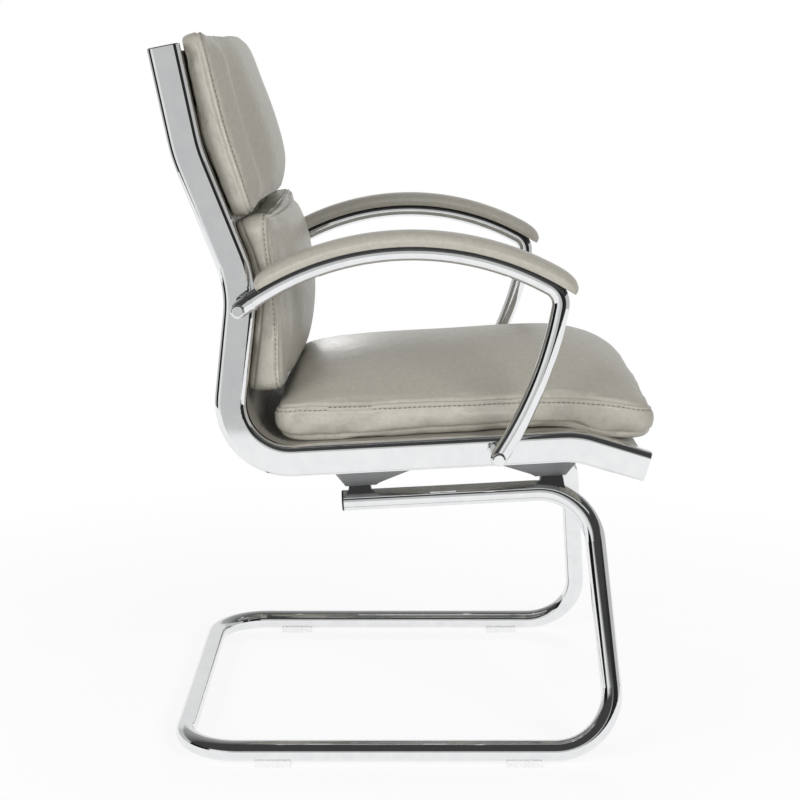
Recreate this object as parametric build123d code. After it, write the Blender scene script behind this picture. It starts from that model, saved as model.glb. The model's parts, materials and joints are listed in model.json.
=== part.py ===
"""Visitor chair on a cantilever sled base, built as separate pieces.

Millimetres. +Z is up, the sitter faces -Y, the sitter's left side is +X and the floor is Z = 0.
"""

import os
from math import atan2, degrees, hypot, sqrt

from build123d import *

# Sled base: one bent round tube
TUBE_D = 28.0
TUBE_WALL = 2.0
TUBE_BEND = 76.0
FLOOR_HALF = 263.0
FLOOR_FRONT_Y = -279.4
FLOOR_REAR_Y = 300.8
UPPER_HALF = 149.0
KNEE_Y = -247.2
KNEE_Z = 348.0
UPPER_END_Y = 84.7
POST_HEIGHT = 9.0
POST_LENGTH = 28.0
POST_FOOT = 36.0
POST_WIDTH = 18.0
CAP_LIP = 2.5
CAP_PLUG = 8.0
GLIDE_HEIGHT = 5.0
GLIDE_LENGTH = 48.0
GLIDE_WIDTH = 24.0
GLIDE_WRAP = 5.0
GLIDE_EDGE = 2.0

# Side rails: centre line in side view, as (Y, Z), from the top of the back to the front of the seat
RAIL_TOP = (297.0, 927.3)
RAIL_BACK_BEND = (272.0, 801.0)
RAIL_LUMBAR = (207.2, 635.4)
RAIL_CORNER = (233.8, 406.1)
RAIL_FRONT_BEND = (-217.3, 430.4)
RAIL_FRONT = (-304.8, 404.2)
RAIL_BENDS = [200.0, 150.0, 75.0, 110.0]
RAIL_DEPTH = 40.0
RAIL_WIDTH = 24.0
RAIL_WALL = 2.5
RAIL_EDGE = 8.0
RAIL_INNER_X = 240.0
RAIL_CAP_LIP = 3.0
RAIL_CAP_PLUG = 14.0

# Spreaders: two pressed straps that carry the rails on the base
STRAP_SHEET = 3.0
STRAP_WAIST = 36.0
STRAP_REACH = 31.0
STRAP_FLARE = 85.0
STRAP_FLAT_OUT = 15.0
STRAP_BEND = 5.0
STRAP_FLARE_R = 60.0
FLANGE_TOP = 0.0
FLANGE_FOOT = -19.0
FLANGE_BOLT = -7.0
REAR_STRAP_Y = 67.0
FRONT_STRAP_Y = -192.0

# Upholstered panels between the rails, as distances from the rail centre line
PANEL_LOW = 4.0
PANEL_HIGH = 18.0
PANEL_SKIN = 2.0
PANEL_SEAM = 0.5
PANEL_FRONT_STOP = 12.0
PANEL_TOP_STOP = 6.0
SIDE_GAP = 0.3
LINING_SHEET = 1.0
LINING_HALF = 196.0
LINING_ENDS = (150.0, -180.0)
PROFILE_STEPS = 400

# Cushions: rows of (distance along, edge height, crown, half width), heights from the rail centre line
CUSHION_SKIN = 1.5
CUSHION_GAP = 0.9
SEAT_ROWS = [
    (168.0, 60.0, 6.0, 234.0),
    (140.0, 63.0, 27.0, 232.8),
    (70.0, 61.0, 44.0, 231.5),
    (-60.0, 59.0, 49.0, 231.0),
    (-205.0, 59.0, 49.0, 231.5),
    (-262.0, 52.0, 42.0, 232.8),
    (-300.0, 45.0, 24.0, 233.6),
    (-317.0, 41.0, 6.0, 234.0),
]
SEAT_LIFTS = [6.0, 0.8, 0.0, 0.0, 0.0, -5.0, -8.0, -9.0]
LUMBAR_ROWS = [
    (-141.0, 27.0, 5.0, 234.0),
    (-112.0, 29.0, 22.0, 232.8),
    (-62.0, 35.0, 31.0, 231.5),
    (-15.0, 38.0, 33.0, 231.0),
    (32.0, 38.0, 31.0, 231.5),
    (64.0, 39.0, 21.0, 232.8),
    (82.0, 40.0, 5.0, 234.0),
]
UPPER_ROWS = [
    (-94.5, 56.0, 5.0, 234.0),
    (-78.0, 57.0, 19.0, 232.8),
    (-45.0, 56.0, 34.0, 231.5),
    (10.0, 55.0, 38.0, 231.0),
    (65.0, 57.0, 32.0, 231.5),
    (112.0, 60.0, 23.0, 232.8),
    (136.0, 60.0, 6.0, 234.0),
]

# Arms: bent round tube with a pad, in the plane X = ARM_X
ARM_X = 296.0
ARM_D = 22.0
ARM_WALL = 1.5
ARM_REAR = (207.5, 611.6)
ARM_CORNER = (-191.0, 632.0)
ARM_FRONT_Y = -114.8
ARM_RISE = 61.8
ARM_BULGE = 12.2
ARM_CORNER_BEND = 24.0
ARM_BOSS_R = 8.5
ARM_BOSS_END = 15.0
ARM_BOSS_EDGE = 2.5
ARM_COLLAR_R = 12.5
ARM_COLLAR_LENGTH = 5.0
ARM_COLLAR_BACK = 15.0
WASHER_R = 13.0
WASHER_SHEET = 2.5
PAD_WIDTH = 52.0
PAD_THICK = 18.5
PAD_DIP = 3.0
PAD_REAR_GAP = 33.0
PAD_FRONT_OVER = 12.3
PAD_NOSE = 14.0
PAD_EDGE = 8.5
STRIP_WIDTH = 34.0
STRIP_THICK = 6.0
STRIP_LIFT = 2.0
STRIP_STOP = 4.0
STRIP_SCREW_ANGLES = (-20.0, 20.0)
SCREW_SEAT = 0.1

# Fasteners and fits
M8 = 8.0
M6 = 6.0
M5 = 5.0
BOLT_CLEAR = 0.4
HEAD_RATIO = 1.6
HEAD_HEIGHT_RATIO = 0.6
NUT_RATIO = 1.7
NUT_HEIGHT_RATIO = 0.8
THREAD_DEPTH = 18.0
SADDLE_R = 6.6
SADDLE_SHEET = 6.0
STRAP_BOLT_SPAN = 60.0
TAB_LENGTH = 36.0
TAB_REACH = 32.0
TAB_SHEET = 3.0
TAB_SCREW_IN = 20.0
TAB_SHARES = [[0.5], [0.35], [0.4], [0.22, 0.62]]

RAIL_LINE = [RAIL_TOP, RAIL_BACK_BEND, RAIL_LUMBAR, RAIL_CORNER, RAIL_FRONT_BEND, RAIL_FRONT]
BACK_SEGMENT, LUMBAR_SEGMENT, SEAT_SEGMENT = 0, 1, 3


def heading(start, end):
    """Unit direction from one (Y, Z) point to the next."""
    length = hypot(end[0] - start[0], end[1] - start[1])
    return ((end[0] - start[0]) / length, (end[1] - start[1]) / length)


def inward(direction):
    """Normal on the sitter's side of a rail direction."""
    return (direction[1], -direction[0])


def step(point, direction, distance):
    return (point[0] + direction[0] * distance, point[1] + direction[1] * distance)


def shifted(points, distance):
    """The line moved towards the sitter, with its corners kept sharp."""
    ways = [heading(a, b) for a, b in zip(points, points[1:])]
    sides = [inward(way) for way in ways]
    moved = [step(points[0], sides[0], distance)]
    for point, one, two in zip(points[1:-1], sides, sides[1:]):
        share = distance / (1 + one[0] * two[0] + one[1] * two[1])
        moved.append(step(point, (one[0] + two[0], one[1] + two[1]), share))
    moved.append(step(points[-1], sides[-1], distance))
    return moved


def bent_line(points, bends, distance):
    """The line moved towards the sitter, with bends that stay concentric."""
    ways = [heading(a, b) for a, b in zip(points, points[1:])]
    radii = []
    for radius, one, two in zip(bends, ways, ways[1:]):
        turn = one[0] * two[1] - one[1] * two[0]
        radii.append(radius - distance if turn < 0 else radius + distance)
    return FilletPolyline(*shifted(points, distance), radius=radii)


def band(points, bends, low, high):
    """Face between two lines that run beside the given one."""
    inner = bent_line(points, bends, low)
    outer = bent_line(points, bends, high)
    ends = [Line(inner @ 0, outer @ 0), Line(inner @ 1, outer @ 1)]
    return make_face(inner.edges() + outer.edges() + ends)


def across(face, half):
    """A side view face, as a solid that reaches the same distance either side of the middle."""
    return extrude(Plane.YZ * face, amount=half, both=True)


def rail_plane(segment, share=0.0, tilt=None):
    """Plane on a rail segment: X across the chair, Y back along the rail and Z to the sitter."""
    start, end = RAIL_LINE[segment], RAIL_LINE[segment + 1]
    way = tilt or heading(start, end)
    at = (start[0] + (end[0] - start[0]) * share, start[1] + (end[1] - start[1]) * share)
    side = inward(way)
    return Plane(origin=(0, at[0], at[1]), x_dir=(1, 0, 0), z_dir=(0, side[0], side[1]))


def mean_way(segment):
    """Direction halfway between a rail segment and the next one."""
    one = heading(RAIL_LINE[segment], RAIL_LINE[segment + 1])
    two = heading(RAIL_LINE[segment + 1], RAIL_LINE[segment + 2])
    return heading((0, 0), (one[0] + two[0], one[1] + two[1]))


def mirrored(shape):
    return mirror(shape, about=Plane.YZ)


def pair(shape):
    return Compound([shape, mirrored(shape)])


def rod(radius, start, end):
    """Cylinder between two points."""
    line = Line(start, end)
    return sweep(Plane(origin=line @ 0, z_dir=line % 0) * Circle(radius), path=line)


def bolt(size, length, head=HEAD_RATIO):
    """Round head bolt: shank up from Z = 0, head below."""
    shank = Cylinder(size / 2, length, align=(Align.CENTER, Align.CENTER, Align.MIN))
    top = Cylinder(size * head / 2, size * HEAD_HEIGHT_RATIO, align=(Align.CENTER, Align.CENTER, Align.MAX))
    return shank + top


# Frames that the pieces share
SEAT = rail_plane(SEAT_SEGMENT, RAIL_CORNER[0] / (RAIL_CORNER[0] - RAIL_FRONT_BEND[0]))
LUMBAR = rail_plane(LUMBAR_SEGMENT, 1.0, mean_way(LUMBAR_SEGMENT))
UPPER = rail_plane(BACK_SEGMENT, 1.0, mean_way(BACK_SEGMENT))
tube_r = TUBE_D / 2
rail_mid_x = RAIL_INNER_X + RAIL_WIDTH / 2
rail_outer_x = RAIL_INNER_X + RAIL_WIDTH
flange_x = RAIL_INNER_X - SIDE_GAP
strap_flat_x = UPPER_HALF + STRAP_FLAT_OUT
seat_rise = (RAIL_FRONT_BEND[1] - RAIL_CORNER[1]) / (RAIL_CORNER[0] - RAIL_FRONT_BEND[0])
arm_front = (ARM_FRONT_Y, RAIL_CORNER[1] + seat_rise * (RAIL_CORNER[0] - ARM_FRONT_Y))
floor_z = GLIDE_HEIGHT + tube_r
upper_end = (UPPER_END_Y, KNEE_Z - seat_rise * (UPPER_END_Y - KNEE_Y))


def seat_local(y, z):
    """Local Y and Z in the seat frame of a side view point."""
    point = SEAT.to_local_coords(Vector(0, y, z))
    return point.Y, point.Z


upper_axis = seat_local(KNEE_Y, KNEE_Z)[1]
tube_top = upper_axis + tube_r
post_top = tube_top + POST_HEIGHT
rear_strap = seat_local(REAR_STRAP_Y, SEAT.origin.Z)[0]
front_strap = seat_local(FRONT_STRAP_Y, SEAT.origin.Z)[0]
post_spots = [(side * UPPER_HALF, y) for side in (-1, 1) for y in (rear_strap, front_strap)]


def base_path():
    left = [
        (UPPER_HALF, *upper_end),
        (UPPER_HALF, KNEE_Y, KNEE_Z),
        (FLOOR_HALF, FLOOR_FRONT_Y, floor_z),
        (FLOOR_HALF, FLOOR_REAR_Y, floor_z),
    ]
    right = [(-x, y, z) for x, y, z in reversed(left)]
    return FilletPolyline(*left, *right, radius=TUBE_BEND)


def base_bar(section):
    """A section swept along the whole base."""
    path = base_path()
    return sweep(Plane(origin=path @ 0, z_dir=path % 0) * section, path=path)


base_outside = base_bar(Circle(tube_r))
base_inside = base_bar(Circle(tube_r - TUBE_WALL))
saddle_low = tube_top - TUBE_WALL - SADDLE_SHEET


def base_holes():
    """Bolt bores in the top wall and the access holes below them."""
    bore = Cylinder((M8 + BOLT_CLEAR) / 2, TUBE_D, align=(Align.CENTER, Align.CENTER, Align.MIN))
    access = Cylinder(SADDLE_R + BOLT_CLEAR, TUBE_D, align=(Align.CENTER, Align.CENTER, Align.MAX))
    return [SEAT * Pos(x, y, upper_axis) * hole for x, y in post_spots for hole in (bore, access)]


def sled_base():
    return base_outside - base_inside - base_holes()


def base_end_caps():
    path = base_path()
    end = Plane(origin=path @ 0, z_dir=-(path % 0))
    lip = extrude(Circle(tube_r), amount=CAP_LIP)
    plug = extrude(Circle(tube_r - TUBE_WALL), amount=-CAP_PLUG)
    return pair(end * fillet((lip + plug).edges().sort_by(Axis.Z)[-1], CAP_LIP / 2))


def glides(y):
    """Pair of clear saddles under the floor runs."""
    block = Pos(FLOOR_HALF, y, 0) * Box(
        GLIDE_WIDTH,
        GLIDE_LENGTH,
        GLIDE_HEIGHT + GLIDE_WRAP,
        align=(Align.CENTER, Align.CENTER, Align.MIN),
    )
    block = fillet(block.edges().filter_by(Axis.Z), GLIDE_EDGE)
    run = rod(tube_r, (FLOOR_HALF, FLOOR_FRONT_Y, floor_z), (FLOOR_HALF, FLOOR_REAR_Y, floor_z))
    return pair(block - run)


def posts(y):
    """Pair of weld-on saddles between the tube and a strap."""
    outline = Polyline(
        (-POST_FOOT / 2, upper_axis),
        (POST_FOOT / 2, upper_axis),
        (POST_LENGTH / 2, post_top),
        (-POST_LENGTH / 2, post_top),
        close=True,
    )
    block = extrude(Plane.YZ * make_face(outline), amount=POST_WIDTH / 2, both=True)
    hole = Pos(0, 0, upper_axis) * Cylinder((M8 + BOLT_CLEAR) / 2, 2 * TUBE_D + 2 * POST_HEIGHT)
    block = SEAT * Pos(UPPER_HALF, y, 0) * (block - hole)
    return pair(block - base_outside)


def strap(y, flare_back):
    """Pressed strap: flat over the posts, sloping up to wide flanges on the rails' inner faces."""
    half_line = [
        (flange_x, FLANGE_TOP),
        (flange_x, FLANGE_FOOT),
        (strap_flat_x, post_top),
    ]
    line = half_line + [(-x, z) for x, z in reversed(half_line)]
    bends = [STRAP_BEND + STRAP_SHEET] * (len(line) - 2)
    section = band(line, bends, 0, STRAP_SHEET)
    sheet = extrude(Plane.XZ * section, amount=STRAP_FLARE + STRAP_REACH, both=True)
    front, back = (STRAP_REACH, STRAP_FLARE) if flare_back else (STRAP_FLARE, STRAP_REACH)
    waist = STRAP_WAIST / 2
    side = [(RAIL_INNER_X, back), (strap_flat_x, waist)]
    other = [(strap_flat_x, -waist), (RAIL_INNER_X, -front)]
    right = side + [(-x, v) for x, v in reversed(side)]
    left = [(-x, v) for x, v in reversed(other)] + other
    rounds = [0, STRAP_FLARE_R, STRAP_FLARE_R, 0]
    plan = make_face(FilletPolyline(*right, *left, radius=rounds + rounds, close=True))
    piece = sheet & extrude(plan, amount=RAIL_INNER_X, both=True)
    hole = Pos(0, 0, post_top) * Cylinder((M8 + BOLT_CLEAR) / 2, TUBE_D)
    piece = piece - [Pos(x, 0, 0) * hole for x in (UPPER_HALF, -UPPER_HALF)]
    small = [
        rod((M6 + BOLT_CLEAR) / 2, (-RAIL_INNER_X, v, FLANGE_BOLT), (RAIL_INNER_X, v, FLANGE_BOLT))
        for v in strap_bolt_rows(flare_back)
    ]
    return SEAT * Pos(0, y, 0) * (piece - small)


def strap_bolt_rows(flare_back):
    """Local Y of the two bolts at each end of a strap."""
    middle = (STRAP_FLARE - STRAP_REACH) / 2 * (1 if flare_back else -1)
    return (middle - STRAP_BOLT_SPAN / 2, middle + STRAP_BOLT_SPAN / 2)


def strap_bolt_planes():
    """Planes at the left rail's strap bolts, looking outwards from the strap's inner face."""
    planes = []
    for y, flare_back in ((rear_strap, False), (front_strap, True)):
        for v in strap_bolt_rows(flare_back):
            spot = (flange_x - STRAP_SHEET, y + v, FLANGE_BOLT)
            planes.append(SEAT * Plane(origin=spot, x_dir=(0, 1, 0), z_dir=(1, 0, 0)))
    return planes


def strap_bolts():
    length = STRAP_SHEET + SIDE_GAP + RAIL_WALL * 2
    bolts = [plane * bolt(M6, length) for plane in strap_bolt_planes()]
    return Compound(bolts + [mirrored(piece) for piece in bolts])


def base_bolts():
    """Bolts put in through the access holes, with their heads inside the tube."""
    length = SADDLE_SHEET + TUBE_WALL + POST_HEIGHT + STRAP_SHEET + M8 * NUT_HEIGHT_RATIO
    return Compound([SEAT * Pos(x, y, saddle_low) * bolt(M8, length) for x, y in post_spots])


def saddle_washers():
    """Washers inside the tube, flat under the bolt head and curved to the top wall."""
    ring = Circle(SADDLE_R) - Circle((M8 + BOLT_CLEAR) / 2)
    disc = extrude(ring, amount=2 * SADDLE_SHEET)
    discs = [SEAT * Pos(x, y, saddle_low) * disc for x, y in post_spots]
    return Compound([piece for disc in discs for piece in (disc & base_inside).solids()])


def base_nuts():
    ring = RegularPolygon(M8 * NUT_RATIO / 2, 6, major_radius=False) - Circle(M8 / 2)
    nut = extrude(ring, amount=M8 * NUT_HEIGHT_RATIO)
    return Compound([SEAT * Pos(x, y, post_top + STRAP_SHEET) * nut for x, y in post_spots])


def rail_section(inset=0.0):
    """Rail outline in local axes: X across the chair, Y towards the sitter."""
    return RectangleRounded(RAIL_WIDTH - 2 * inset, RAIL_DEPTH - 2 * inset, RAIL_EDGE - inset)


def rail_path():
    line = bent_line(RAIL_LINE, RAIL_BENDS, 0)
    return Pos(rail_mid_x, 0, 0) * (Plane.YZ * line)


def rail_end_plane(path, at):
    """Plane at a rail end, looking out of the rail."""
    out = -(path % at) if at == 0 else path % at
    return Plane(origin=path @ at, x_dir=(1, 0, 0), z_dir=out)


def rail_holes():
    """Bores for the arm bolts, the access holes behind them and the strap bolts."""
    shank_r = (M8 + BOLT_CLEAR) / 2
    access_r = M8 * HEAD_RATIO / 2 + BOLT_CLEAR
    holes = []
    for point in (ARM_REAR, arm_front):
        holes.append(lateral(shank_r, point, rail_mid_x, rail_outer_x + RAIL_WALL))
        holes.append(lateral(access_r, point, RAIL_INNER_X - RAIL_WALL, rail_mid_x))
    small = Cylinder(M6 / 2, RAIL_WIDTH)
    return holes + [plane * small for plane in strap_bolt_planes()]


def side_rail():
    path = rail_path()
    tube = rail_section() - rail_section(RAIL_WALL)
    rail = sweep(rail_end_plane(path, 0) * tube, path=path)
    return rail - rail_holes()


def rail_cap(at):
    path = rail_path()
    lip = extrude(rail_section(), amount=RAIL_CAP_LIP)
    plug = extrude(rail_section(RAIL_WALL), amount=-RAIL_CAP_PLUG)
    lip = fillet(lip.faces().sort_by(Axis.Z)[-1].edges(), RAIL_CAP_LIP / 2)
    return rail_end_plane(path, at) * (lip + plug)


def panel(seat, inset):
    """Board outline between the rails, cut at the corner seam; inset makes the core inside its skin."""
    line = list(RAIL_LINE)
    line[0] = step(line[0], heading(line[0], line[1]), PANEL_TOP_STOP + inset)
    line[-1] = step(line[-1], heading(line[-1], line[-2]), PANEL_FRONT_STOP + inset)
    face = band(line, RAIL_BENDS, PANEL_LOW + inset, PANEL_HIGH - inset)
    board = across(face, RAIL_INNER_X - SIDE_GAP - inset)
    way = mean_way(SEAT_SEGMENT - 1)
    sign = 1 if seat else -1
    point = step(RAIL_CORNER, way, sign * (PANEL_SEAM / 2 + inset))
    cut = Plane(origin=(0, *point), z_dir=(0, sign * way[0], sign * way[1]))
    return split(board, bisect_by=cut, keep=Keep.TOP)


def tab_spots():
    """Plane and side for each tab that carries a panel on a rail."""
    return [rail_plane(n, share) for n, shares in enumerate(TAB_SHARES) for share in shares]


def tab_bores(size):
    bore = Cylinder(size / 2, 2 * (PANEL_HIGH - PANEL_LOW - 2 * PANEL_SKIN))
    spots = [RAIL_INNER_X - TAB_SCREW_IN, TAB_SCREW_IN - RAIL_INNER_X]
    return [plane * Pos(x, 0, PANEL_LOW) * bore for plane in tab_spots() for x in spots]


def panel_pieces(seat):
    core = panel(seat, PANEL_SKIN)
    bores = tab_bores(M5)
    return core - bores, (panel(seat, 0) - core) - bores


def tabs():
    """Short plates on the left rail that follow the back of the panels."""
    sheet = across(band(RAIL_LINE, RAIL_BENDS, PANEL_LOW - TAB_SHEET, PANEL_LOW), RAIL_INNER_X)
    reach = Box(TAB_REACH, TAB_LENGTH, RAIL_DEPTH, align=(Align.MAX, Align.CENTER, Align.CENTER))
    pieces = [sheet & (plane * Pos(RAIL_INNER_X, 0, 0) * reach) for plane in tab_spots()]
    bores = tab_bores(M5)
    return Compound([solid for piece in pieces for solid in (piece - bores).solids()])


def tab_screws():
    length = TAB_SHEET + PANEL_HIGH - PANEL_LOW - 2 * PANEL_SKIN
    screw = Pos(0, 0, PANEL_LOW - TAB_SHEET) * bolt(M5, length)
    spots = [RAIL_INNER_X - TAB_SCREW_IN, TAB_SCREW_IN - RAIL_INNER_X]
    return Compound([plane * Pos(x, 0, 0) * screw for plane in tab_spots() for x in spots])


def seat_lining():
    """Thin cloth that closes the underside of the seat panel."""
    back, front = LINING_ENDS
    sheet = Box(2 * LINING_HALF, back - front, LINING_SHEET, align=(Align.CENTER, Align.MIN, Align.MAX))
    return SEAT * Pos(0, front, PANEL_LOW) * sheet


def panel_front(plane, along):
    """Height of the back panel's face above a local plane, at a distance along it."""
    line = bent_line(RAIL_LINE, RAIL_BENDS, PANEL_HIGH)
    spots = [line @ (i / PROFILE_STEPS) for i in range(PROFILE_STEPS + 1)]
    points = [plane.to_local_coords(Vector(0, spot.X, spot.Y)) for spot in spots]
    for one, two in zip(points, points[1:]):
        if two.Y <= along <= one.Y:
            return one.Z + (two.Z - one.Z) * (along - one.Y) / (two.Y - one.Y)
    return points[0].Z


def cushion(plane, rows, bases, inset):
    """Boxed cushion with a crown, lofted through cross-sections along its length."""
    first, last = rows[0][0], rows[-1][0]
    middle = (first + last) / 2
    shrink = 1 - inset / abs(first - middle)
    sections = []
    for (along, edge, crown, half), base in zip(rows, bases):
        spot = middle + (along - middle) * shrink
        low = base + inset
        side = half - inset
        top = edge - inset
        box = Polyline((-side, top), (-side, low), (side, low), (side, top))
        arc = ThreePointArc((side, top), (0, top + crown), (-side, top))
        sections.append(Plane.XZ.offset(-spot) * make_face(box.edges() + arc.edges()))
    return plane * loft(sections)


def cushion_pieces(plane, rows, bases):
    core = cushion(plane, rows, bases, CUSHION_SKIN)
    return core, cushion(plane, rows, bases, 0) - core


def seat_bases():
    """Underside of the seat cushion: on the panel, then lifting off its turned-down front."""
    return [PANEL_HIGH + CUSHION_GAP + lift for lift in SEAT_LIFTS]


def back_bases(plane, rows):
    return [panel_front(plane, row[0]) + CUSHION_GAP for row in rows]


arch = SagittaArc(ARM_REAR, ARM_CORNER, -ARM_RISE)
leg = SagittaArc(ARM_CORNER, arm_front, -ARM_BULGE)
arm_line = Wire(arch.edges() + leg.edges())
corner_vertex = arm_line.vertices().sort_by_distance((*ARM_CORNER, 0))[0]
arm_line = arm_line.fillet_2d(ARM_CORNER_BEND, [corner_vertex])
arch_centre = arch.edges()[0].arc_center
arch_r = arch.edges()[0].radius


def arm_path():
    return Pos(ARM_X, 0, 0) * (Plane.YZ * arm_line)


def arm_tube(radius):
    path = arm_path()
    start = path.edges().sort_by_distance((ARM_X, *ARM_REAR))[0]
    at = 0 if (start @ 0 - Vector(ARM_X, *ARM_REAR)).length < arch_r / 2 else 1
    way = start % at
    return sweep(Plane(origin=start @ at, z_dir=way if at == 0 else -way) * Circle(radius), path=path)


def lateral(radius, point, start, end):
    return rod(radius, (start, *point), (end, *point))


def arm_frame():
    """Bent tube with a round head and a cross boss at each end."""
    washer_x = rail_outer_x + WASHER_SHEET
    outer_x = ARM_X + ARM_BOSS_END
    body = arm_tube(ARM_D / 2)
    bore = arm_tube(ARM_D / 2 - ARM_WALL)
    for point in (ARM_REAR, arm_front):
        head = Pos(ARM_X, *point) * Sphere(ARM_D / 2)
        boss = lateral(ARM_BOSS_R, point, washer_x, outer_x)
        boss = fillet(boss.edges().sort_by(Axis.X)[-1], ARM_BOSS_EDGE)
        body = body + head + boss
        bore = bore - head
    body = body - bore
    thread_end = washer_x + THREAD_DEPTH
    threads = [lateral(M8 / 2, point, washer_x, thread_end) for point in (ARM_REAR, arm_front)]
    return body - threads - pad_screw_bores(M5 + BOLT_CLEAR) - pad_access_holes()


def arm_collar():
    """Ring on the tube just ahead of the ball head."""
    along = arch.edges()[0]
    share = ARM_COLLAR_BACK / along.length
    at = along @ share
    way = along % share
    plane = Plane(origin=(ARM_X, at.X, at.Y), z_dir=(0, way.X, way.Y))
    ring = Circle(ARM_COLLAR_R) - Circle(ARM_D / 2)
    return plane * extrude(ring, amount=ARM_COLLAR_LENGTH)


def arm_washers():
    start = rail_outer_x
    end = rail_outer_x + WASHER_SHEET
    rings = [
        lateral(WASHER_R, point, start, end) - lateral((M8 + BOLT_CLEAR) / 2, point, start, end)
        for point in (ARM_REAR, arm_front)
    ]
    return Compound([solid for ring in rings for solid in ring.solids()])


def arm_bolts():
    start = rail_outer_x - RAIL_WALL
    length = RAIL_WALL + WASHER_SHEET + THREAD_DEPTH
    bolts = []
    for y, z in (ARM_REAR, arm_front):
        plane = Plane(origin=(start, y, z), x_dir=(0, 1, 0), z_dir=(1, 0, 0))
        bolts.append(plane * bolt(M8, length, NUT_RATIO - BOLT_CLEAR))
    return Compound(bolts)


def arch_point(radius, angle):
    """Side view point at a radius from the arch centre; the angle is from upright, to the front."""
    turn = Vector(0, radius).rotate(Axis.Z, angle)
    return (arch_centre.X + turn.X, arch_centre.Y + turn.Y)


def arch_band(low, high, rear, front):
    """Side view face between two radii of the arch."""
    inner = ThreePointArc(arch_point(low, -rear), arch_point(low, 0), arch_point(low, front))
    outer = ThreePointArc(arch_point(high, -rear), arch_point(high, 0), arch_point(high, front))
    ends = [Line(inner @ 0, outer @ 0), Line(inner @ 1, outer @ 1)]
    return make_face(inner.edges() + outer.edges() + ends)


def arch_lean(point):
    """Angle of a side view point from upright, seen from the arch centre."""
    return degrees(atan2(abs(point[0] - arch_centre.X), point[1] - arch_centre.Y))


pad_rear_angle = arch_lean(ARM_REAR) - degrees(PAD_REAR_GAP / arch_r)
pad_front_angle = arch_lean(ARM_CORNER) + degrees(PAD_FRONT_OVER / arch_r)
pad_low = arch_r + ARM_D / 2 - PAD_DIP
pad_high = pad_low + PAD_THICK
strip_low = arch_r + ARM_D / 2 + STRIP_LIFT


def pad_strip():
    face = arch_band(
        strip_low,
        strip_low + STRIP_THICK,
        pad_rear_angle - STRIP_STOP,
        pad_front_angle - STRIP_STOP,
    )
    return Pos(ARM_X, 0, 0) * across(face, STRIP_WIDTH / 2)


pad_head_r = M5 * HEAD_RATIO / 2
pad_head_seat = arch_r + sqrt((ARM_D / 2 - ARM_WALL) ** 2 - pad_head_r**2) - SCREW_SEAT


def pad_bores(radius, low, high):
    """Round bores across the arm tube at the pad screws, between two radii of the arch."""
    return [
        rod(radius, (ARM_X, *arch_point(low, angle)), (ARM_X, *arch_point(high, angle)))
        for angle in STRIP_SCREW_ANGLES
    ]


def pad_screw_bores(size):
    return pad_bores(size / 2, arch_r, strip_low + STRIP_THICK)


def pad_access_holes():
    """Holes in the tube's bottom wall that let the screw heads into the tube."""
    return pad_bores(pad_head_r + BOLT_CLEAR, arch_r - ARM_D, arch_r)


def pad_screws():
    """Screws whose heads sit inside the tube, against its top wall."""
    screws = []
    for angle in STRIP_SCREW_ANGLES:
        start = (ARM_X, *arch_point(pad_head_seat, angle))
        end = (ARM_X, *arch_point(strip_low, angle))
        plane = Plane(origin=start, z_dir=Vector(*end) - Vector(*start))
        screws.append(plane * bolt(M5, strip_low + STRIP_THICK - pad_head_seat))
    return Compound(screws)


def arm_pad():
    face = arch_band(pad_low, pad_high, pad_rear_angle, pad_front_angle)
    hub = Vector(arch_centre.X, arch_centre.Y)
    tips = [v for v in face.vertices() if (Vector(v.X, v.Y) - hub).length > (pad_low + pad_high) / 2]
    face = fillet(tips, PAD_NOSE)
    block = across(face, PAD_WIDTH / 2)
    rim = block.faces().sort_by(Axis.X)
    edges = [edge for side in (rim[0], rim[-1]) for edge in side.edges()]
    axis = Vector(0, arch_centre.X, arch_centre.Y)
    outer = [e for e in edges if ((e @ 0.5) - axis - Vector((e @ 0.5).X)).length > pad_low + PAD_EDGE / 4]
    block = Pos(ARM_X, 0, 0) * fillet(outer, PAD_EDGE)
    return block - arm_tube(ARM_D / 2 + SIDE_GAP) - pad_strip() - pad_screw_bores(M5 + BOLT_CLEAR)


seat_core, seat_skin = panel_pieces(True)
back_core, back_skin = panel_pieces(False)
seat_foam, seat_cover = cushion_pieces(SEAT, SEAT_ROWS, seat_bases())
lumbar_foam, lumbar_cover = cushion_pieces(LUMBAR, LUMBAR_ROWS, back_bases(LUMBAR, LUMBAR_ROWS))
upper_foam, upper_cover = cushion_pieces(UPPER, UPPER_ROWS, back_bases(UPPER, UPPER_ROWS))
left_pad = arm_pad()
left_strip = pad_strip() - pad_screw_bores(M5)
left_arm = arm_frame()
left_rail = side_rail()
left_tabs = tabs()

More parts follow.
